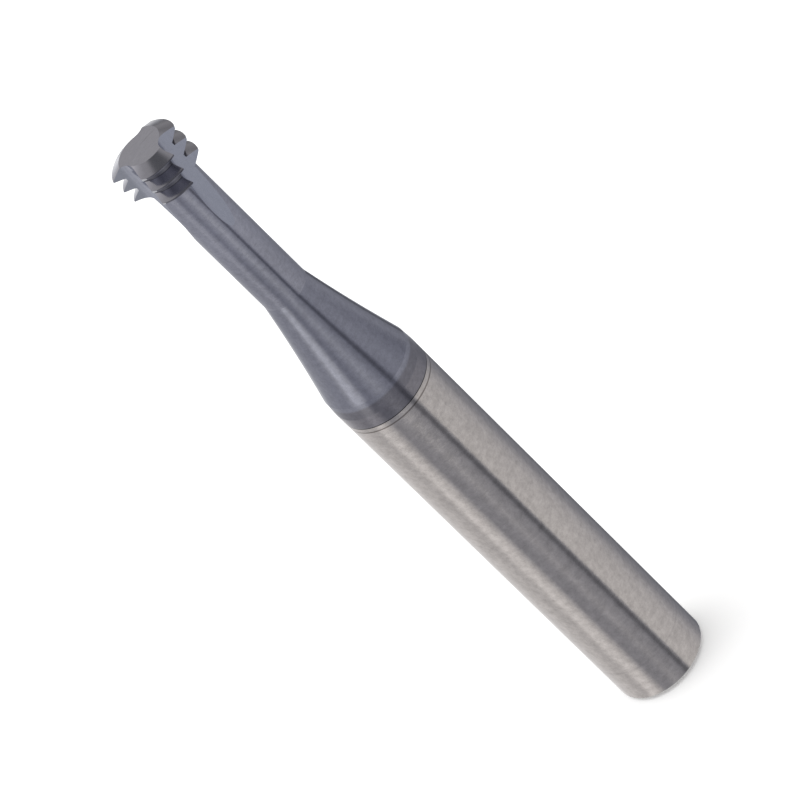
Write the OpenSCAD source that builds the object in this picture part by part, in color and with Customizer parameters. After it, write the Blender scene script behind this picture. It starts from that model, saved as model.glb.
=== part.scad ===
// Solid carbide thread mill with three rows of 60 degree teeth and three flutes.
// The tool stands on the rear face of its shank: the origin is the centre of that
// face, and +Z runs along the tool axis to the cutting head. Millimetres.

/* [Shank] */
// Diameter of the shank
shank_d = 6; // [5.5:0.1:8]
// Length of the whole tool, rear face to front face
overall_length = 50; // [45:1:70]
// Width and depth of the 45 degree chamfer at the rear face
rear_chamfer = 0.3; // [0.1:0.05:0.6]
// Length of the front end of the shank that is coated, behind the lead bevel
coated_length = 0.9; // [0.3:0.1:8]

/* [Taper and neck] */
// Diameter of the relieved neck
neck_d = 3; // [2.8:0.05:3.4]
// Reach: length of head and neck together, front face to taper
reach = 13; // [10:0.5:16]
// Length of the ground taper from the neck to the lead bevel
taper_length = 7.4; // [5:0.1:9]
// Hollow of the ground taper, below a straight cone
taper_hollow = 0.06; // [0.02:0.01:0.12]
// Length of the shallow lead bevel at the front of the shank
lead_length = 1; // [0.4:0.1:1.6]
// Depth of the lead bevel
lead_depth = 0.06; // [0.02:0.01:0.15]

/* [Teeth] */
// Diameter over the cutting edges
cutting_d = 4.75; // [4.6:0.05:5]
// Number of rows of teeth
rows = 3; // [1:1:4]
// Pitch of the thread that the tool cuts
pitch = 1; // [0.9:0.05:1.1]
// Angle between the two flanks of a tooth
thread_angle = 60; // [55:1:60]
// Depth of a tooth, crest to root
tooth_depth = 0.61; // [0.5:0.01:0.65]
// Width of the crest flat
crest_width = 0.08; // [0.04:0.01:0.12]
// Distance from the front face back to the middle of the first crest
front_step = 0.5; // [0.4:0.01:0.6]
// Fillet between the last row and the neck
rear_fillet = 0.5; // [0.3:0.05:0.7]

/* [Lands and flutes] */
// Helix angle of the flutes at the cutting diameter
helix_angle = 10; // [5:1:12]
// Offset of the centre that each land is ground about, for its relief
relief_offset = 0.25; // [0.15:0.01:0.3]
// Distance from the tool axis to the flute floor
core_radius = 1.15; // [1.05:0.01:1.25]
// Corner radius of the flute, which gives the cutting face its hook
flute_corner = 1; // [0.8:0.05:1.1]
// Distance from the tool axis to the flat on the heel of each land
heel_radius = 2; // [1.95:0.01:2.1]
// Diameter of the wheel that grinds the flutes
wheel_d = 150; // [100:10:200]

/* [Hidden] */
$fn = 144;
// Facets of the grinding wheels and of the arc of the taper
large_fn = 360;
coating_colour = "#6d7180";
carbide_colour = "#a39c98";

shank_r = shank_d / 2;
neck_r = neck_d / 2;
cutting_r = cutting_d / 2;
wheel_r = wheel_d / 2;
// Number of flutes, each with one cutting edge; the angles below suit three
flutes = 3;
// Angle of the first cutting edge round the tool, at the middle of the rows
edge_turn = -70;
// Angle from each cutting edge forward to the normal of its flute floor
floor_turn = 10;
// Angle from each cutting edge forward to the centre that the land is ground about
relief_turn = 60;
// Angle from each cutting edge back to the normal of its heel flat
heel_turn = 68;
// Angles from each cutting edge to the limits of its land, both inside a flute
land_ahead = 38;
land_behind = 90;
// How far in front of the front face each grinding wheel is at its deepest
wheel_lead = 0.5;
// Overrun of the cutting shapes past what they cut
overrun = 3;

// Heights along the tool
neck_start = overall_length - reach;
taper_start = neck_start - taper_length;
lead_start = taper_start - lead_length;
coating_edge = lead_start - coated_length;
first_crest = overall_length - front_step;
last_crest = first_crest - (rows - 1) * pitch;
rows_middle = (first_crest + last_crest) / 2;
wheel_rise = overall_length + wheel_lead - rows_middle;

// Tooth form
flank_slope = tan(thread_angle / 2);
flank_length = tooth_depth * flank_slope;
root_r = cutting_r - tooth_depth;
front_r = cutting_r - (front_step - crest_width / 2) / flank_slope;

// Taper: the chord of its hollow profile and the radius of the arc on that chord
lead_r = shank_r - lead_depth;
taper_chord = norm([lead_r - neck_r, taper_length]);
taper_arc = taper_chord * taper_chord / (8 * taper_hollow) + taper_hollow / 2;
taper_tilt = atan2(lead_r - neck_r, taper_length);

// Turn of the cutting edge round the axis at a height
function edge_angle(height) = asin(tan(helix_angle) * (height - rows_middle) / cutting_r);

// Distance from a land's own centre to the cutting edge, for a radius on the tool
function land_r(radius, height) =
    let (turn = relief_turn - edge_angle(height))
    sqrt(radius * radius + relief_offset * relief_offset
         - 2 * radius * relief_offset * cos(turn));

// Height of the middle of a row's crest
function crest_height(row) = first_crest - row * pitch;

// One tooth of the land's profile, front root to rear root
function tooth(row) =
    let (height = crest_height(row), half = crest_width / 2, crest = land_r(cutting_r, height))
    [
        row == 0
            ? [land_r(front_r, overall_length), overall_length]
            : [land_r(root_r, height), height + half + flank_length],
        [crest, height + half],
        [crest, height - half],
        row == rows - 1
            ? [land_neck_r, land_rear]
            : [land_r(root_r, height), height - half - flank_length],
    ];

// How far the land's rear fillet runs below the neck
rear_sink = 0.01;
// Where the rear flank of the last row runs down to the neck
land_neck_r = neck_r - relief_offset * cos(relief_turn) - rear_sink;
land_crest_r = land_r(cutting_r, last_crest);
land_rear = last_crest - crest_width / 2 - (land_crest_r - land_neck_r) * flank_slope;
fillet_reach = rear_fillet * tan(45 - thread_angle / 4);
// The neck runs up inside the rear flank, to where the flank meets it at the heel
heel_neck_r = neck_r - relief_offset * cos(relief_turn + heel_turn);
neck_top = land_rear + (heel_neck_r - land_neck_r) * flank_slope;

// Profile of the turned blank up to the taper, radius against height
module shank_profile() {
    polygon([
        [0, 0],
        [shank_r - rear_chamfer, 0],
        [shank_r, rear_chamfer],
        [shank_r, coating_edge],
        [0, coating_edge],
    ]);
}

// Profile of the coated front: end of the shank, lead bevel, taper and neck
module neck_profile() {
    difference() {
        polygon([
            [0, coating_edge],
            [shank_r, coating_edge],
            [shank_r, lead_start],
            [lead_r, taper_start],
            [neck_r, neck_start],
            [neck_r, neck_top],
            [0, neck_top],
        ]);
        intersection() {
            translate([lead_r, taper_start])
                rotate(taper_tilt)
                    translate([taper_arc - taper_hollow, taper_chord / 2])
                        circle(r = taper_arc, $fn = large_fn);
            translate([0, taper_start])
                square([shank_d, taper_length]);
        }
    }
}

// Profile of a land about its own centre: the rows of teeth and the rear fillet
module land_profile() {
    polygon(concat(
        [[0, land_rear], [0, overall_length]],
        [for (row = [0 : rows - 1]) each tooth(row)]
    ));
    difference() {
        polygon([
            [0, land_rear],
            [land_neck_r, land_rear],
            [land_neck_r + fillet_reach * cos(thread_angle / 2),
             land_rear + fillet_reach * sin(thread_angle / 2)],
            [land_neck_r + rear_fillet, land_rear - fillet_reach],
            [0, land_rear - fillet_reach],
        ]);
        translate([land_neck_r + rear_fillet, land_rear - fillet_reach])
            circle(r = rear_fillet);
    }
}

// Sector of the head that one land may fill, as a kite with its point on the axis
module land_sector() {
    size = 2 * cutting_d;
    linear_extrude(height = overall_length + overrun)
        polygon([
            [0, 0],
            size * [cos(-land_behind), sin(-land_behind)],
            size * [cos(-land_behind / 2), sin(-land_behind / 2)],
            size * [1, 0],
            size * [cos(land_ahead), sin(land_ahead)],
        ]);
}

// One land, with its cutting edge on the X axis at the middle of the rows
module land() {
    intersection() {
        rotate([0, 0, relief_turn])
            translate([relief_offset, 0, 0])
                rotate_extrude()
                    land_profile();
        land_sector();
    }
}

// Wheel for one flute, its side in the plane of the cutting face
module flute_wheel() {
    side = cutting_r * sin(floor_turn);
    rotate([0, 0, floor_turn])
        translate([core_radius + wheel_r, -side, rows_middle])
            rotate([90 - helix_angle, 0, 0])
                translate([0, wheel_rise, 0])
                    rotate_extrude($fn = large_fn)
                        wheel_profile();
}

// Section of the flute wheel, radius against width
module wheel_profile() {
    width = cutting_d;
    translate([0, -width])
        square([wheel_r - flute_corner, width]);
    translate([0, -width])
        square([wheel_r, width - flute_corner]);
    translate([wheel_r - flute_corner, -flute_corner])
        circle(r = flute_corner);
}

// Wheel for the narrow flat on the heel of one land
module heel_wheel() {
    rotate([0, 0, -heel_turn])
        translate([heel_radius + wheel_r, 0, overall_length + wheel_lead])
            rotate([90, 0, 0])
                cylinder(r = wheel_r, h = cutting_d, center = true, $fn = large_fn);
}

module thread_mill() {
    difference() {
        union() {
            color(carbide_colour) rotate_extrude() shank_profile();
            color(coating_colour) rotate_extrude() neck_profile();
            for (edge = [0 : flutes - 1])
                rotate([0, 0, edge_turn + edge * 360 / flutes])
                    color(coating_colour) land();
        }
        for (edge = [0 : flutes - 1])
            rotate([0, 0, edge_turn + edge * 360 / flutes]) {
                color(coating_colour) flute_wheel();
                color(coating_colour) heel_wheel();
            }
    }
}

thread_mill();
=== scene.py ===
import math

import bpy
from mathutils import Matrix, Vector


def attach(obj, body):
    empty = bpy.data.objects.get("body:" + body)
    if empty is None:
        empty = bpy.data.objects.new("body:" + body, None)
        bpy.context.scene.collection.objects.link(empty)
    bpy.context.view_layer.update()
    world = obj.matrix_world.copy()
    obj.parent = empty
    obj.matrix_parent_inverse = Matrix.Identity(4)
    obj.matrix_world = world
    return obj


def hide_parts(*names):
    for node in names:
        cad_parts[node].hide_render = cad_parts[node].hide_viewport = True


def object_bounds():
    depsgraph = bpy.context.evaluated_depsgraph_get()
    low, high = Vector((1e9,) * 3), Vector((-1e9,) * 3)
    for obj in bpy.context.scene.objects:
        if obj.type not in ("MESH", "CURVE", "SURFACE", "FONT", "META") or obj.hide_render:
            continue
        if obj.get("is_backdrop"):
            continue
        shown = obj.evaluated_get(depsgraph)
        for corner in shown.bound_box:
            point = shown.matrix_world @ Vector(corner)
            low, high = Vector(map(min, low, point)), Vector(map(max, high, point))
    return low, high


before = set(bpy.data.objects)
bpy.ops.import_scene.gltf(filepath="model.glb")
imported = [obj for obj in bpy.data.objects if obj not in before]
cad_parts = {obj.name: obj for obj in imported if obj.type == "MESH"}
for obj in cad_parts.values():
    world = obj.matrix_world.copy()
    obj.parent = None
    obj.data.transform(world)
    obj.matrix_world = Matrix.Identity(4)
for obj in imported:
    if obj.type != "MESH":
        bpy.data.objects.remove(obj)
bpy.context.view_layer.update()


# The blank of the tool: one tungsten carbide rod, ground round to a 6 mm shank, a shallow
# lead bevel, a slightly hollow taper and a 3 mm neck. Each section is drawn as a line of
# radius and height, lowest point first, and a node group turns it round the tool axis.
MM = 0.001
SHANK_R = 3.0 * MM
NECK_R = 1.5 * MM
TOOL_LENGTH = 50.0 * MM
REAR_CHAMFER = 0.3 * MM
NECK_START = 37.0 * MM
TAPER_START = 29.6 * MM
TAPER_HOLLOW = 0.06 * MM
LEAD_START = 28.6 * MM
LEAD_DEPTH = 0.06 * MM
COATING_EDGE = 27.7 * MM
TAPER_STEPS = 24
SAME_POINT = 0.0005 * MM


def node(tree, kind, inputs=None, **settings):
    made = tree.nodes.new(kind)
    for key, value in settings.items():
        setattr(made, key, value)
    for key, value in (inputs or {}).items():
        if isinstance(value, bpy.types.NodeSocket):
            tree.links.new(value, made.inputs[key])
        else:
            made.inputs[key].default_value = value
    return made


def sockets(tree, inputs, outputs):
    for name, kind in inputs:
        tree.interface.new_socket(name, in_out="INPUT", socket_type="NodeSocket" + kind)
    for name, kind in outputs:
        tree.interface.new_socket(name, in_out="OUTPUT", socket_type="NodeSocket" + kind)


def section(name, points):
    mesh = bpy.data.meshes.new(name)
    mesh.from_pydata([(r, 0.0, z) for r, z in points],
                     [(i, i + 1) for i in range(len(points) - 1)], [])
    made = bpy.data.objects.new(name, mesh)
    bpy.context.scene.collection.objects.link(made)
    return made


def arc(centre, radius, start, end, steps):
    turns = [math.radians(start + (end - start) * i / steps) for i in range(steps + 1)]
    return [(centre[0] + radius * math.cos(t), centre[1] + radius * math.sin(t)) for t in turns]


def hollow_taper(foot, top, hollow, steps):
    run, rise = top[0] - foot[0], top[1] - foot[1]
    chord = math.hypot(run, rise)
    radius = chord * chord / (8 * hollow) + hollow / 2
    points = []
    for i in range(steps + 1):
        along = chord * i / steps
        sink = radius - hollow - math.sqrt(radius ** 2 - (along - chord / 2) ** 2)
        points.append((foot[0] + (run * along + rise * sink) / chord,
                       foot[1] + (rise * along - run * sink) / chord))
    return points


turned = bpy.data.node_groups.new("turned section", "GeometryNodeTree")
sockets(turned, [("Section", "Object"), ("Steps", "Int"), ("Cut Mark", "Int")],
        [("Solid", "Geometry")])
given = node(turned, "NodeGroupInput")
outline = node(turned, "GeometryNodeObjectInfo", {"Object": given.outputs["Section"]})
points_in = node(turned, "GeometryNodeAttributeDomainSize",
                 {"Geometry": outline.outputs["Geometry"]})
columns = node(turned, "FunctionNodeIntegerMath", {0: given.outputs["Steps"], 1: 1})
grid = node(turned, "GeometryNodeMeshGrid", {"Vertices X": columns.outputs[0],
                                             "Vertices Y": points_in.outputs["Point Count"]})
index = node(turned, "GeometryNodeInputIndex")
row = node(turned, "FunctionNodeIntegerMath",
           {0: index.outputs[0], 1: points_in.outputs["Point Count"]}, operation="MODULO")
column = node(turned, "FunctionNodeIntegerMath",
              {0: index.outputs[0], 1: points_in.outputs["Point Count"]},
              operation="DIVIDE_FLOOR")
place = node(turned, "GeometryNodeInputPosition")
drawn = node(turned, "GeometryNodeSampleIndex",
             {"Geometry": outline.outputs["Geometry"], "Index": row.outputs[0]},
             data_type="FLOAT_VECTOR")
turned.links.new(place.outputs[0], drawn.inputs["Value"])
share = node(turned, "ShaderNodeMath", {0: column.outputs[0], 1: given.outputs["Steps"]},
             operation="DIVIDE")
turn = node(turned, "ShaderNodeMath", {0: share.outputs[0], 1: math.tau}, operation="MULTIPLY")
swung = node(turned, "ShaderNodeVectorRotate",
             {"Vector": drawn.outputs["Value"], "Angle": turn.outputs[0]},
             rotation_type="Z_AXIS")
laid = node(turned, "GeometryNodeSetPosition",
            {"Geometry": grid.outputs["Mesh"], "Position": swung.outputs["Vector"]})
closed = node(turned, "GeometryNodeMergeByDistance",
              {"Geometry": laid.outputs["Geometry"], "Distance": SAME_POINT})
marked = node(turned, "GeometryNodeStoreNamedAttribute",
              {"Geometry": closed.outputs["Geometry"], "Name": "cut_mark",
               "Value": given.outputs["Cut Mark"]}, data_type="INT", domain="FACE")
node(turned, "NodeGroupOutput", {"Solid": marked.outputs["Geometry"]})


# The cutting head: three lands with three closed rows of 60 degree teeth each. The lands
# are relief ground, so each is turned about a centre of its own, a quarter of a millimetre
# off the tool axis, and fills one sector of the head.
CUTTING_R = 2.375 * MM
ROWS = 3
PITCH = 1.0 * MM
FLANK_ANGLE = math.radians(30)
TOOTH_DEPTH = 0.61 * MM
CREST_HALF = 0.04 * MM
FRONT_STEP = 0.5 * MM
REAR_FILLET = 0.5 * MM
REAR_SINK = 0.01 * MM
HELIX_ANGLE = math.radians(10)
RELIEF_OFFSET = 0.25 * MM
RELIEF_TURN = math.radians(60)
EDGE_TURN = math.radians(-70)
HEEL_TURN = math.radians(68)
LANDS = 3
LAND_AHEAD = math.radians(38)
LAND_BEHIND = math.radians(90)
SECTOR_REACH = 4 * CUTTING_R
SECTOR_TOP = 1.1 * TOOL_LENGTH
FILLET_STEPS = 24

first_crest = TOOL_LENGTH - FRONT_STEP
last_crest = first_crest - (ROWS - 1) * PITCH
rows_middle = (first_crest + last_crest) / 2
flank_slope = math.tan(FLANK_ANGLE)
flank_length = TOOTH_DEPTH * flank_slope
root_r = CUTTING_R - TOOTH_DEPTH
front_r = CUTTING_R - (FRONT_STEP - CREST_HALF) / flank_slope


def land_r(radius, height):
    """Distance from a land's own centre to the cutting edge, for a radius on the tool."""
    swing = RELIEF_TURN - math.asin(math.tan(HELIX_ANGLE) * (height - rows_middle) / CUTTING_R)
    return math.sqrt(radius ** 2 + RELIEF_OFFSET ** 2
                     - 2 * radius * RELIEF_OFFSET * math.cos(swing))


land_neck_r = NECK_R - RELIEF_OFFSET * math.cos(RELIEF_TURN) - REAR_SINK
rear_depth = land_r(CUTTING_R, last_crest) - land_neck_r
land_rear = last_crest - CREST_HALF - rear_depth * flank_slope
fillet_reach = REAR_FILLET * math.tan(math.radians(45) - FLANK_ANGLE / 2)
fillet_centre = (land_neck_r + REAR_FILLET, land_rear - fillet_reach)
heel_neck_r = NECK_R - RELIEF_OFFSET * math.cos(RELIEF_TURN + HEEL_TURN)
neck_top = land_rear + (heel_neck_r - land_neck_r) * flank_slope

land_points = [(0.0, land_rear - fillet_reach)]
land_points += arc(fillet_centre, REAR_FILLET, 180, 120, FILLET_STEPS)
for tooth in reversed(range(ROWS)):
    height = first_crest - tooth * PITCH
    crest, root = land_r(CUTTING_R, height), land_r(root_r, height)
    if tooth < ROWS - 1:
        land_points.append((root, height - CREST_HALF - flank_length))
    land_points += [(crest, height - CREST_HALF), (crest, height + CREST_HALF)]
    if tooth > 0:
        land_points.append((root, height + CREST_HALF + flank_length))
land_points += [(land_r(front_r, TOOL_LENGTH), TOOL_LENGTH), (0.0, TOOL_LENGTH)]
land_section = section("land_section", land_points)

blank_section = section("blank_section", [
    (0.0, 0.0), (SHANK_R - REAR_CHAMFER, 0.0), (SHANK_R, REAR_CHAMFER),
    (SHANK_R, COATING_EDGE), (SHANK_R, LEAD_START),
    *hollow_taper((SHANK_R - LEAD_DEPTH, TAPER_START), (NECK_R, NECK_START), TAPER_HOLLOW,
                  TAPER_STEPS),
    (NECK_R, neck_top), (0.0, neck_top)])

kite = [(0.0, 0.0)] + [(SECTOR_REACH * math.cos(t), SECTOR_REACH * math.sin(t))
                       for t in (-LAND_BEHIND, -LAND_BEHIND / 2, 0.0, LAND_AHEAD)]
corners = len(kite)
sector_faces = [tuple(reversed(range(corners))), tuple(range(corners, 2 * corners))]
for corner in range(corners):
    following = (corner + 1) % corners
    sector_faces.append((corner, following, corners + following, corners + corner))
sector_mesh = bpy.data.meshes.new("land_sector")
sector_mesh.from_pydata([(x, y, z) for z in (0.0, SECTOR_TOP) for x, y in kite], [],
                        sector_faces)
land_sector = bpy.data.objects.new("land_sector", sector_mesh)
bpy.context.scene.collection.objects.link(land_sector)


# The three flutes and the three heel flats. Each flute is one straight pass of a 200 mm wheel
# with a bevelled rim and a rounded corner, tilted by the helix angle and deepest ahead of
# the tool, so it runs out on the neck. A second wheel takes the flat off each heel.
WHEEL_R = 100.0 * MM
WHEEL_LEAD = 2.7 * MM
CORE_R = 0.93 * MM
FLUTE_CORNER = 0.9 * MM
RIM_ANGLE = math.radians(6)
FLOOR_TURN = math.radians(8.5)
HEEL_R = 1.96 * MM
CORNER_STEPS = 36
FLUTE_MARK = 1
HEEL_MARK = 2

wheel_width = 2 * CUTTING_R
corner_centre = WHEEL_R - FLUTE_CORNER * (math.tan(RIM_ANGLE) + 1 / math.cos(RIM_ANGLE))
flute_wheel_section = section("flute_wheel_section", [
    (0.0, -wheel_width), (WHEEL_R - wheel_width * math.tan(RIM_ANGLE), -wheel_width),
    *arc((corner_centre, -FLUTE_CORNER), FLUTE_CORNER, -math.degrees(RIM_ANGLE), 90,
         CORNER_STEPS),
    (0.0, 0.0)])
heel_wheel_section = section("heel_wheel_section", [
    (0.0, -CUTTING_R), (WHEEL_R, -CUTTING_R), (WHEEL_R, CUTTING_R), (0.0, CUTTING_R)])


# What the ground surfaces share. Round grinding leaves fine rings across the axis and
# flute grinding leaves lines along it, over a mottle of larger and smaller patches. One
# node group gives both for all finishes: a tone that runs about 1, and a height for the
# bump. A second group picks out a band round the tool between two heights.
ground_marks = bpy.data.node_groups.new("ground marks", "ShaderNodeTree")
sockets(ground_marks,
        [("Line Stretch", "Vector"), ("Line Depth", "Float"), ("Mottle Size", "Float"),
         ("Mottle Depth", "Float")],
        [("Tone", "Float"), ("Height", "Float")])
given = node(ground_marks, "NodeGroupInput")
spot = node(ground_marks, "ShaderNodeTexCoord")
stretched = node(ground_marks, "ShaderNodeMapping",
                 {"Vector": spot.outputs["Object"], "Scale": given.outputs["Line Stretch"]})
lines = node(ground_marks, "ShaderNodeTexNoise",
             {"Vector": stretched.outputs[0], "Scale": 1.0, "Detail": 3.0, "Roughness": 0.6})
mottle_scale = node(ground_marks, "ShaderNodeMath", {0: 1.0, 1: given.outputs["Mottle Size"]},
                    operation="DIVIDE")
mottle = node(ground_marks, "ShaderNodeTexNoise",
              {"Vector": spot.outputs["Object"], "Scale": mottle_scale.outputs[0],
               "Detail": 4.0, "Roughness": 0.7})
line_tone = node(ground_marks, "ShaderNodeMath",
                 {0: lines.outputs[0], 1: -0.5}, operation="ADD")
line_part = node(ground_marks, "ShaderNodeMath",
                 {0: line_tone.outputs[0], 1: given.outputs["Line Depth"]},
                 operation="MULTIPLY")
mottle_tone = node(ground_marks, "ShaderNodeMath",
                   {0: mottle.outputs[0], 1: -0.5}, operation="ADD")
mottle_part = node(ground_marks, "ShaderNodeMath",
                   {0: mottle_tone.outputs[0], 1: given.outputs["Mottle Depth"]},
                   operation="MULTIPLY")
both = node(ground_marks, "ShaderNodeMath",
            {0: line_part.outputs[0], 1: mottle_part.outputs[0]}, operation="ADD")
tone = node(ground_marks, "ShaderNodeMath", {0: both.outputs[0], 1: 1.0}, operation="ADD")
node(ground_marks, "NodeGroupOutput", {"Tone": tone.outputs[0], "Height": both.outputs[0]})

ring_band = bpy.data.node_groups.new("ring band", "ShaderNodeTree")
sockets(ring_band, [("Low", "Float"), ("High", "Float"), ("Softness", "Float")],
        [("Mask", "Float")])
given = node(ring_band, "NodeGroupInput")
spot = node(ring_band, "ShaderNodeTexCoord")
height = node(ring_band, "ShaderNodeSeparateXYZ", {0: spot.outputs["Object"]})
masks = []
for bound in ("Low", "High"):
    past = node(ring_band, "ShaderNodeMath",
                {0: given.outputs[bound], 1: given.outputs["Softness"]}, operation="ADD")
    masks.append(node(ring_band, "ShaderNodeMapRange",
                      {"Value": height.outputs["Z"], "From Min": given.outputs[bound],
                       "From Max": past.outputs[0]}, interpolation_type="SMOOTHSTEP"))
inside = node(ring_band, "ShaderNodeMath",
              {0: masks[0].outputs[0], 1: masks[1].outputs[0]}, operation="SUBTRACT")
node(ring_band, "NodeGroupOutput", {"Mask": inside.outputs[0]})


def finish_material(name, colour, roughness, line_stretch, line_depth, mottle_size,
                    mottle_depth, relief, bands=()):
    made = bpy.data.materials.new(name)
    made.use_nodes = True
    made.node_tree.nodes.clear()
    tree = made.node_tree
    tinted = node(tree, "ShaderNodeRGB").outputs[0]
    tinted.default_value = (*colour, 1.0)
    for low, high, softness, tint in bands:
        band = node(tree, "ShaderNodeGroup", node_tree=ring_band)
        for key, value in (("Low", low), ("High", high), ("Softness", softness)):
            band.inputs[key].default_value = value
        tinted = node(tree, "ShaderNodeMix",
                      {0: band.outputs["Mask"], 6: tinted, 7: (*tint, 1.0)},
                      data_type="RGBA").outputs[2]
    marks = node(tree, "ShaderNodeGroup", node_tree=ground_marks)
    for key, value in (("Line Stretch", line_stretch), ("Line Depth", line_depth),
                       ("Mottle Size", mottle_size), ("Mottle Depth", mottle_depth)):
        marks.inputs[key].default_value = value
    toned = node(tree, "ShaderNodeVectorMath", {0: tinted, 1: marks.outputs["Tone"]},
                 operation="MULTIPLY")
    raised = node(tree, "ShaderNodeBump",
                  {"Height": marks.outputs["Height"], "Strength": 1.0, "Distance": relief})
    surface = node(tree, "ShaderNodeBsdfPrincipled",
                   {"Base Color": toned.outputs[0], "Metallic": 1.0, "Roughness": roughness,
                    "Normal": raised.outputs[0]})
    node(tree, "ShaderNodeOutputMaterial", {"Surface": surface.outputs[0]})
    return made


# A grain is how close its lines lie along X, Y and Z, per metre. A band is its low and high
# edge, how soft the two edges are, and its tint.
ROUND_GRAIN = (150, 150, 9000)
COATED_ROUND_GRAIN = (120, 120, 7000)
LENGTHWISE_GRAIN = (7000, 7000, 160)
PLAIN_GRAIN = (900, 900, 900)
FINE_EDGE = 0.02 * MM

REAR_RING = (2.75 * MM, 2.9 * MM, 0.06 * MM, (0.435, 0.412, 0.40))
LINE_BEHIND_COATING = (27.31 * MM, 27.41 * MM, FINE_EDGE, (0.22, 0.20, 0.19))
bare_carbide = finish_material(
    "bare_ground_carbide", colour=(0.47, 0.445, 0.43), roughness=0.085,
    line_stretch=ROUND_GRAIN, line_depth=0.12, mottle_size=0.4 * MM, mottle_depth=0.8,
    relief=0.005 * MM, bands=[LINE_BEHIND_COATING, REAR_RING])

FRONT_OF_NECK = (39.0 * MM, TOOL_LENGTH, 4.0 * MM, (0.335, 0.340, 0.395))
DARK_COLLAR = (0.0, 29.15 * MM, 0.22 * MM, (0.208, 0.203, 0.226))
COATING_RIM = (0.0, COATING_EDGE + 0.05 * MM, FINE_EDGE, (0.05, 0.05, 0.055))
coated_round = finish_material(
    "coated_round_grinding", colour=(0.298, 0.302, 0.350), roughness=0.11,
    line_stretch=COATED_ROUND_GRAIN, line_depth=0.18, mottle_size=0.3 * MM,
    mottle_depth=0.65, relief=0.004 * MM, bands=[FRONT_OF_NECK, DARK_COLLAR, COATING_RIM])

# Painted shade: the roots between the tooth rows are coloured dark, standing in for the shade
# that falls in these recesses.
ROOT_SHADE_HALF = 0.13 * MM
ROOT_PAINTED_SHADE = (0.12, 0.12, 0.14)
CREST_PAINTED_SHADE = (0.15, 0.15, 0.175)
root_painted_shade = [(first_crest - PITCH / 2, ROOT_SHADE_HALF, ROOT_PAINTED_SHADE),
              (last_crest + PITCH / 2, ROOT_SHADE_HALF, ROOT_PAINTED_SHADE)]
# Painted shade: the narrow crest flats are darkened as well, so that they show no light strip.
crest_painted_shade = [(first_crest - tooth * PITCH, CREST_HALF, CREST_PAINTED_SHADE) for tooth in range(ROWS)]
coated_head_and_painted_shade = finish_material(
    "coated_relief_grinding_and_painted_shade", colour=(0.298, 0.300, 0.345), roughness=0.16,
    line_stretch=PLAIN_GRAIN, line_depth=0.0, mottle_size=0.3 * MM, mottle_depth=0.2,
    relief=0.002 * MM, bands=[(middle - half, middle + half, FINE_EDGE, tint)
                              for middle, half, tint in root_painted_shade + crest_painted_shade])
coated_flute = finish_material(
    "coated_flute_grinding", colour=(0.36, 0.375, 0.44), roughness=0.2,
    line_stretch=LENGTHWISE_GRAIN, line_depth=0.12, mottle_size=0.2 * MM, mottle_depth=0.2,
    relief=0.002 * MM)
# Painted highlight: the heel flats are coloured far lighter than the carbide, standing in for
# the bright glints they reflect.
heel_painted_highlight = finish_material(
    "heel_flat_painted_highlight", colour=(0.68, 0.68, 0.70), roughness=0.2, line_stretch=PLAIN_GRAIN,
    line_depth=0.0, mottle_size=0.3 * MM, mottle_depth=0.2, relief=0.002 * MM)


# The ground tool itself. The tree joins the three lands to the blank and takes the flutes
# and heel flats off them; surfaces that a wheel cut keep the wheel's finish, and the heel
# flats are painted far lighter as a painted highlight.
HEAD_START = 46.8 * MM
TURN_STEPS = 240
WHEEL_STEPS = 720
EDGE_LIMIT = math.radians(3.2)

form = bpy.data.node_groups.new("thread mill", "GeometryNodeTree")
sockets(form,
        [("Blank Section", "Object"), ("Land Section", "Object"), ("Land Sector", "Object"),
         ("Flute Wheel Section", "Object"), ("Heel Wheel Section", "Object"),
         ("Lands", "Int"), ("Turn Steps", "Int"), ("Wheel Steps", "Int"),
         ("First Edge Turn", "Float"), ("Relief Offset", "Float"), ("Relief Turn", "Float"),
         ("Helix Angle", "Float"), ("Floor Turn", "Float"), ("Heel Turn", "Float"),
         ("Core Radius", "Float"), ("Heel Radius", "Float"), ("Wheel Radius", "Float"),
         ("Cutting Radius", "Float"), ("Rows Middle", "Float"), ("Wheel Height", "Float"),
         ("Coating Edge", "Float"), ("Head Start", "Float"), ("Edge Limit", "Float"),
         ("Bare Finish", "Material"), ("Round Finish", "Material"),
         ("Head Finish And Painted Shade", "Material"), ("Flute Finish", "Material"),
         ("Heel Painted Highlight", "Material")],
        [("Tool", "Geometry")])
given = node(form, "NodeGroupInput").outputs


def figure(operation, first, second=0.0):
    return node(form, "ShaderNodeMath", {0: first, 1: second}, operation=operation).outputs[0]


def vector(x=0.0, y=0.0, z=0.0):
    return node(form, "ShaderNodeCombineXYZ", {"X": x, "Y": y, "Z": z}).outputs[0]


def moved(geometry, shift=None, turn=None):
    made = node(form, "GeometryNodeTransform", {"Geometry": geometry})
    if shift is not None:
        form.links.new(shift, made.inputs["Translation"])
    if turn is not None:
        spin = node(form, "FunctionNodeEulerToRotation", {"Euler": turn})
        form.links.new(spin.outputs[0], made.inputs["Rotation"])
    return made.outputs[0]


def solid(section_socket, steps, cut_mark=0):
    made = node(form, "GeometryNodeGroup", node_tree=turned)
    form.links.new(section_socket, made.inputs["Section"])
    form.links.new(steps, made.inputs["Steps"])
    made.inputs["Cut Mark"].default_value = cut_mark
    return made.outputs[0]


def boolean(operation, first, *others):
    made = node(form, "GeometryNodeMeshBoolean", operation=operation, solver="MANIFOLD")
    if operation == "DIFFERENCE":
        form.links.new(first, made.inputs["Mesh 1"])
    else:
        others = (first, *others)
    for other in others:
        form.links.new(other, made.inputs["Mesh 2"])
    return made.outputs["Mesh"]


blank = solid(given["Blank Section"], given["Turn Steps"])

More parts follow.
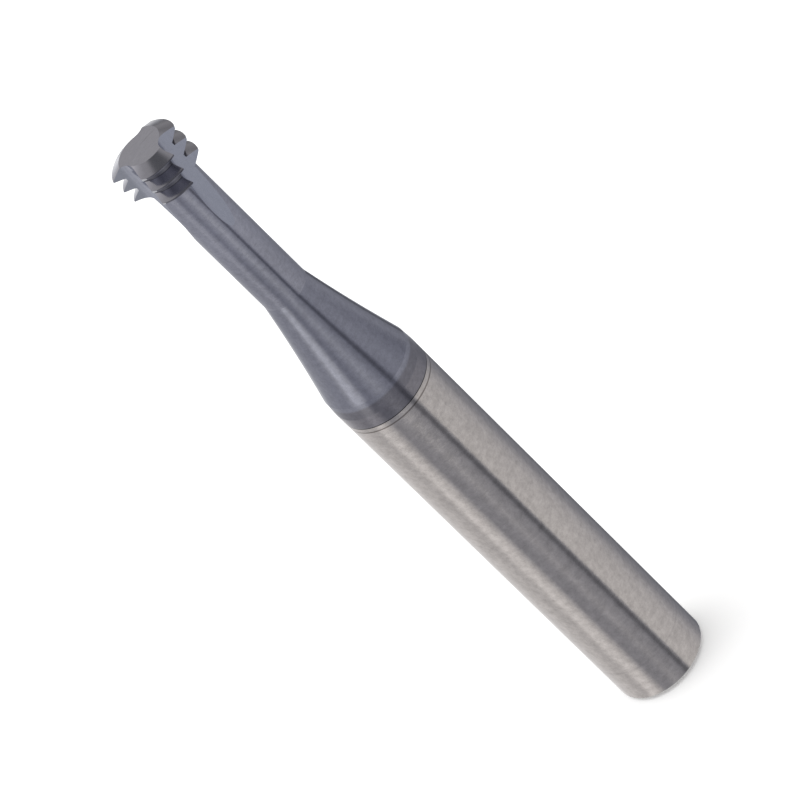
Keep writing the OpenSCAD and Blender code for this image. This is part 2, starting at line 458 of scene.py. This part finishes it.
land = solid(given["Land Section"], given["Turn Steps"])
land = moved(land, shift=vector(x=given["Relief Offset"]))
land = moved(land, turn=vector(z=given["Relief Turn"]))
sector = node(form, "GeometryNodeObjectInfo", {"Object": given["Land Sector"]})
land = boolean("INTERSECT", land, sector.outputs["Geometry"])

flute_wheel = solid(given["Flute Wheel Section"], given["Wheel Steps"], FLUTE_MARK)
wheel_lift = figure("SUBTRACT", given["Wheel Height"], given["Rows Middle"])
flute_wheel = moved(flute_wheel, shift=vector(y=wheel_lift))
flute_tilt = figure("SUBTRACT", math.pi / 2, given["Helix Angle"])
side = figure("MULTIPLY", given["Cutting Radius"], figure("SINE", given["Floor Turn"]))
flute_wheel = moved(
    flute_wheel, turn=vector(x=flute_tilt),
    shift=vector(x=figure("ADD", given["Core Radius"], given["Wheel Radius"]),
                 y=figure("MULTIPLY", side, -1.0), z=given["Rows Middle"]))
flute_wheel = moved(flute_wheel, turn=vector(z=given["Floor Turn"]))

heel_wheel = solid(given["Heel Wheel Section"], given["Wheel Steps"], HEEL_MARK)
heel_wheel = moved(
    heel_wheel, turn=vector(x=math.pi / 2),
    shift=vector(x=figure("ADD", given["Heel Radius"], given["Wheel Radius"]),
                 z=given["Wheel Height"]))
heel_wheel = moved(heel_wheel, turn=vector(z=figure("MULTIPLY", given["Heel Turn"], -1.0)))

stations = node(form, "GeometryNodePoints", {"Count": given["Lands"]})
number = node(form, "GeometryNodeInputIndex")
spacing = figure("DIVIDE", math.tau, given["Lands"])
station_turn = figure("ADD", figure("MULTIPLY", spacing, number.outputs[0]),
                      given["First Edge Turn"])
station_spin = node(form, "FunctionNodeEulerToRotation", {"Euler": vector(z=station_turn)})


def around_axis(geometry):
    return node(form, "GeometryNodeInstanceOnPoints",
                {"Points": stations.outputs[0], "Instance": geometry,
                 "Rotation": station_spin.outputs[0]}).outputs[0]


body = boolean("UNION", blank, around_axis(land))
body = boolean("DIFFERENCE", body, around_axis(flute_wheel), around_axis(heel_wheel))
smooth = node(form, "GeometryNodeSetShadeSmooth", {"Geometry": body, "Shade Smooth": True})
fold = node(form, "GeometryNodeInputMeshEdgeAngle")
sharp = node(form, "FunctionNodeCompare",
             {"A": fold.outputs["Unsigned Angle"], "B": given["Edge Limit"]},
             operation="GREATER_THAN")
creased = node(form, "GeometryNodeSetShadeSmooth",
               {"Geometry": smooth.outputs[0], "Selection": sharp.outputs[0],
                "Shade Smooth": False}, domain="EDGE")
whole = node(form, "GeometryNodeRealizeInstances", {"Geometry": creased.outputs[0]})
where = node(form, "ShaderNodeSeparateXYZ",
             {0: node(form, "GeometryNodeInputPosition").outputs[0]})
behind = node(form, "FunctionNodeCompare",
              {"A": where.outputs["Z"], "B": given["Coating Edge"]}, operation="LESS_THAN")
ahead = node(form, "FunctionNodeCompare",
             {"A": where.outputs["Z"], "B": given["Head Start"]}, operation="GREATER_THAN")
cut_mark = node(form, "GeometryNodeInputNamedAttribute", {"Name": "cut_mark"}, data_type="INT")
by_flute_wheel, by_heel_wheel = (
    node(form, "FunctionNodeCompare", {"A": cut_mark.outputs[0], "B": mark},
         data_type="INT", operation="EQUAL") for mark in (FLUTE_MARK, HEEL_MARK))
finished = whole.outputs[0]
for selection, finish in ((None, "Round Finish"), (ahead.outputs[0], "Head Finish And Painted Shade"),
                          (by_flute_wheel.outputs[0], "Flute Finish"),
                          (by_heel_wheel.outputs[0], "Heel Painted Highlight"),
                          (behind.outputs[0], "Bare Finish")):
    painted = node(form, "GeometryNodeSetMaterial",
                   {"Geometry": finished, "Material": given[finish]})
    if selection is not None:
        form.links.new(selection, painted.inputs["Selection"])
    finished = painted.outputs[0]
plain = node(form, "GeometryNodeRemoveAttribute", {"Geometry": finished, "Name": "cut_mark"})
node(form, "NodeGroupOutput", {"Tool": plain.outputs[0]})

maker = bpy.data.objects.new("tool_maker", bpy.data.meshes.new("tool_maker"))
bpy.context.scene.collection.objects.link(maker)
making = maker.modifiers.new("thread mill", "NODES")
making.node_group = form
identifiers = {item.name: item.identifier for item in form.interface.items_tree
               if item.in_out == "INPUT"}
for name, value in {
        "Blank Section": blank_section, "Land Section": land_section,
        "Land Sector": land_sector, "Flute Wheel Section": flute_wheel_section,
        "Heel Wheel Section": heel_wheel_section, "Lands": LANDS, "Turn Steps": TURN_STEPS,
        "Wheel Steps": WHEEL_STEPS, "First Edge Turn": EDGE_TURN,
        "Relief Offset": RELIEF_OFFSET, "Relief Turn": RELIEF_TURN,
        "Helix Angle": HELIX_ANGLE, "Floor Turn": FLOOR_TURN, "Heel Turn": HEEL_TURN,
        "Core Radius": CORE_R, "Heel Radius": HEEL_R, "Wheel Radius": WHEEL_R,
        "Cutting Radius": CUTTING_R, "Rows Middle": rows_middle,
        "Wheel Height": TOOL_LENGTH + WHEEL_LEAD, "Coating Edge": COATING_EDGE,
        "Head Start": HEAD_START, "Edge Limit": EDGE_LIMIT, "Bare Finish": bare_carbide,
        "Round Finish": coated_round, "Head Finish And Painted Shade": coated_head_and_painted_shade,
        "Flute Finish": coated_flute, "Heel Painted Highlight": heel_painted_highlight}.items():
    making[identifiers[name]] = value
bpy.context.view_layer.update()
shapes = bpy.context.evaluated_depsgraph_get()
tool_mesh = bpy.data.meshes.new_from_object(maker.evaluated_get(shapes), depsgraph=shapes)
tool_mesh.name = "ground_thread_mill"
# The turned solids bring an empty first slot, which no face uses.
if tool_mesh.materials[0] is None:
    tool_mesh.materials.pop(index=0)
ground_tool = bpy.data.objects.new("ground_thread_mill", tool_mesh)
bpy.context.scene.collection.objects.link(ground_tool)
for helper in (maker, blank_section, land_section, land_sector, flute_wheel_section,
               heel_wheel_section):
    bpy.data.objects.remove(helper)
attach(ground_tool, "root")
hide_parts("thread_mill")


# The studio: a plain white floor that the tool stands on, an even white surround, and what
# polished metal sees in it, which is soft panels with gaps between them round the tool.
FLOOR_HALF = 3.0
FLOOR_WHITE = (0.9, 0.9, 0.9, 1.0)
FLOOR_LIFT = 0.12
floor_mesh = bpy.data.meshes.new("floor")
floor_mesh.from_pydata([(-FLOOR_HALF, -FLOOR_HALF, 0.0), (FLOOR_HALF, -FLOOR_HALF, 0.0),
                        (FLOOR_HALF, FLOOR_HALF, 0.0), (-FLOOR_HALF, FLOOR_HALF, 0.0)],
                       [], [(0, 1, 2, 3)])
floor = bpy.data.objects.new("floor", floor_mesh)
bpy.context.scene.collection.objects.link(floor)
floor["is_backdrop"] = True
floor.visible_glossy = False
floor_paint = bpy.data.materials.new("white_floor")
floor_paint.use_nodes = True
floor_paint.node_tree.nodes.clear()
floor_mesh.materials.append(floor_paint)
tree = floor_paint.node_tree
lit = node(tree, "ShaderNodeBsdfDiffuse", {"Color": FLOOR_WHITE})
glow = node(tree, "ShaderNodeEmission", {"Color": (1.0, 1.0, 1.0, 1.0)})
path = node(tree, "ShaderNodeLightPath")
lift = node(tree, "ShaderNodeMath", {0: path.outputs["Is Camera Ray"], 1: FLOOR_LIFT},
            operation="MULTIPLY")
tree.links.new(lift.outputs[0], glow.inputs["Strength"])
pale = node(tree, "ShaderNodeAddShader", {0: lit.outputs[0], 1: glow.outputs[0]})
below = node(tree, "ShaderNodeNewGeometry")
clear = node(tree, "ShaderNodeBsdfTransparent")
seen = node(tree, "ShaderNodeMixShader",
            {0: below.outputs["Backfacing"], 1: pale.outputs[0], 2: clear.outputs[0]})
node(tree, "ShaderNodeOutputMaterial", {"Surface": seen.outputs[0]})

# Brightness of the surround by compass angle from the camera side, in degrees, positive
# to the right: what the shank sees well below the horizon, what the neck and the cone see
# above that, and what the teeth see behind the tool. Bright panels are warm, gaps cool.
LOW_PANELS = [(-180, 0.95), (-164, 0.95), (-156, 0.89), (-140, 0.92), (-116, 0.87),
              (-100, 0.78), (-91, 0.76), (-84, 0.86), (-77, 1.08), (-69, 1.08), (-60, 0.90),
              (-52, 0.68), (-44, 0.42), (-36, 0.41), (-28, 0.41), (-20, 0.46), (-12, 0.53),
              (-4, 0.46), (10, 0.40), (16, 0.30), (19, 0.20), (24.5, 0.20), (28, 0.38),
              (32.5, 0.80), (44, 0.84), (84, 0.74), (100, 0.64), (124, 0.38), (140, 0.30),
              (157, 0.19), (168, 0.19), (180, 0.95)]
NECK_PANELS = [(-180, 0.60), (-140, 0.63), (-100, 0.60), (-84, 0.63), (-72, 0.69),
               (-60, 0.60), (-52, 0.49), (-44, 0.42), (-36, 0.50), (-20, 0.68), (-12, 0.84),
               (-4, 0.78), (6, 0.62), (14, 0.50), (17, 0.23), (23, 0.25), (27, 0.48),
               (36, 0.64), (52, 0.65), (84, 0.60), (116, 0.52), (140, 0.36), (156, 0.33),
               (180, 0.60)]
CONE_PANELS = [(-180, 1.25), (-170, 1.25), (-160, 0.92), (-140, 0.80), (-124, 0.72),
               (-108, 0.60), (-92, 0.57), (-84, 0.62), (-76, 0.78), (-69, 1.15),
               (-60, 1.10), (-52, 0.84), (-44, 0.48), (-36, 0.42), (-28, 0.52), (-12, 0.71),
               (-4, 0.62), (12, 0.42), (17, 0.23), (21, 0.18), (25, 0.27), (31, 0.50),
               (44, 0.55), (60, 0.53), (92, 0.40), (108, 0.28), (124, 0.16), (148, 0.09),
               (160, 0.14), (170, 0.80), (180, 1.25)]
HIGH_PANELS = [(-180, 0.755), (-160, 0.82), (-145, 1.05), (-130, 1.20), (-122, 0.90),
               (-113, 0.66), (-100, 0.62), (-60, 0.60), (0, 0.50), (60, 0.50), (110, 0.72),
               (134, 0.62), (144, 0.40), (156, 0.55), (180, 0.755)]
LEAD_PANELS = [(-180, 0.95), (-140, 0.60), (-84, 0.66), (-72, 0.90), (-60, 0.90),
               (-54, 0.60), (-46, 0.42), (-20, 0.50), (-10, 0.55), (4, 0.45), (12, 0.42),
               (17, 0.25), (24, 0.26), (28, 0.46), (34, 0.64), (72, 0.62), (100, 0.50),
               (124, 0.28), (148, 0.14), (160, 0.26), (180, 0.95)]
UNDER = 0.60
OVERHEAD = 0.21
OVERHEAD_TOWARD = (-0.06, 0.0, 0.998)
OVERHEAD_OUTER = math.radians(17)
OVERHEAD_INNER = math.radians(7.5)
GAP_LEVEL = 0.3
PANEL_LEVEL = 0.8
PLAIN = (1.0, 1.0, 1.0)
COOL = (0.98, 1.0, 1.13)
WARM = (1.02, 1.0, 1.0)
BEHIND = (1.03, 1.0, 0.96)

world = bpy.data.worlds.new("studio")
bpy.context.scene.world = world
world.use_nodes = True
world.node_tree.nodes.clear()
tree = world.node_tree
toward = node(tree, "ShaderNodeTexCoord")
parts = node(tree, "ShaderNodeSeparateXYZ", {0: toward.outputs["Generated"]})
front = node(tree, "ShaderNodeMath", {0: parts.outputs["Y"], 1: -1.0}, operation="MULTIPLY")
compass = node(tree, "ShaderNodeMath", {0: parts.outputs["X"], 1: front.outputs[0]},
               operation="ARCTAN2")
compass_share = node(tree, "ShaderNodeMapRange",
                     {"Value": compass.outputs[0], "From Min": -math.pi, "From Max": math.pi})


def panels(stops, cool=PLAIN, warm=PLAIN):
    ramp = node(tree, "ShaderNodeValToRGB", {0: compass_share.outputs[0]})
    ramp.color_ramp.interpolation = "LINEAR"
    marks = ramp.color_ramp.elements
    while len(marks) > 1:
        marks.remove(marks[-1])
    for number, (angle, level) in enumerate(stops):
        mark = marks[0] if number == 0 else marks.new((angle + 180) / 360)
        mark.position = (angle + 180) / 360
        warmth = min(max((level - GAP_LEVEL) / (PANEL_LEVEL - GAP_LEVEL), 0.0), 1.0)
        mark.color = (*(level * (dim + (bright - dim) * warmth)
                        for dim, bright in zip(cool, warm)), 1.0)
    return ramp.outputs["Color"]


def stacked(below, above, low, high):
    """Blend of two bands of the surround, between two heights above the horizon in degrees."""
    share = node(tree, "ShaderNodeMapRange",
                 {"Value": parts.outputs["Z"], "From Min": math.sin(math.radians(low)),
                  "From Max": math.sin(math.radians(high))}, interpolation_type="SMOOTHSTEP")
    return node(tree, "ShaderNodeMix", {0: share.outputs[0], 6: below, 7: above},
                data_type="RGBA").outputs[2]


neck_panels = panels(NECK_PANELS, COOL)
seen_round = (UNDER, UNDER, UNDER, 1.0)
for above, low, high in ((panels(LOW_PANELS, COOL, WARM), -43, -40),
                         (neck_panels, -35.2, -33.6),
                         (panels(LEAD_PANELS, COOL), -31.8, -30),
                         (neck_panels, -27.2, -26.2),
                         (panels(CONE_PANELS, COOL), -22, -17),
                         (panels(HIGH_PANELS, BEHIND, BEHIND), -3, 12)):
    seen_round = stacked(seen_round, above, low, high)
overhead = node(tree, "ShaderNodeVectorMath",
                {0: toward.outputs["Generated"], 1: OVERHEAD_TOWARD}, operation="DOT_PRODUCT")
overhead_share = node(tree, "ShaderNodeMapRange",
                      {"Value": overhead.outputs["Value"],
                       "From Min": math.cos(OVERHEAD_OUTER),
                       "From Max": math.cos(OVERHEAD_INNER)},
                      interpolation_type="SMOOTHSTEP")
seen_round = node(tree, "ShaderNodeMix",
                  {0: overhead_share.outputs[0], 6: seen_round,
                   7: (OVERHEAD, OVERHEAD, OVERHEAD, 1.0)}, data_type="RGBA").outputs[2]
path = node(tree, "ShaderNodeLightPath")
chosen = node(tree, "ShaderNodeMix", {0: path.outputs["Is Glossy Ray"],
                                      6: (1.0, 1.0, 1.0, 1.0), 7: seen_round},
              data_type="RGBA")
shine = node(tree, "ShaderNodeBackground", {"Color": chosen.outputs[2], "Strength": 1.0})
node(tree, "ShaderNodeOutputWorld", {"Surface": shine.outputs[0]})

LAMP_SIZE = 0.5
LAMP_POWER = 2.0
LAMP_PLACE = (-0.25, 0.15, 0.7)
key = bpy.data.lights.new("soft_panel", "AREA")
key.shape = "SQUARE"
key.size = LAMP_SIZE
key.energy = LAMP_POWER
panel = bpy.data.objects.new("soft_panel", key)
panel.location = LAMP_PLACE
panel.rotation_euler = panel.location.to_track_quat("Z", "Y").to_euler()
panel.visible_glossy = False
bpy.context.scene.collection.objects.link(panel)


# The camera: a long lens, well above the tool and rolled, as the photograph was taken.
CAMERA_PLACE = (0.000081, -0.282153, 0.224139)
CAMERA_TILT = math.radians(35.05)
CAMERA_ROLL = math.radians(135.56)
LENS = 276.86
SENSOR_WIDTH = 36.0
NEAREST = 0.01
FARTHEST = 20.0

lens = bpy.data.cameras.new("camera")
lens.lens = LENS
lens.sensor_width = SENSOR_WIDTH
lens.sensor_fit = "HORIZONTAL"
lens.clip_start = NEAREST
lens.clip_end = FARTHEST
camera = bpy.data.objects.new("camera", lens)
tilt_cos, tilt_sin = math.cos(CAMERA_TILT), math.sin(CAMERA_TILT)
roll_cos, roll_sin = math.cos(CAMERA_ROLL), math.sin(CAMERA_ROLL)
axes = Matrix(((roll_sin, roll_cos * tilt_sin, tilt_cos * roll_cos),
               (-roll_cos, roll_sin * tilt_sin, tilt_cos * roll_sin),
               (0.0, -tilt_cos, tilt_sin))).transposed()
camera.matrix_world = Matrix.Translation(CAMERA_PLACE) @ axes.to_4x4()
bpy.context.scene.collection.objects.link(camera)
bpy.context.scene.camera = camera
bpy.context.scene.view_settings.view_transform = "Standard"

low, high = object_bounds()
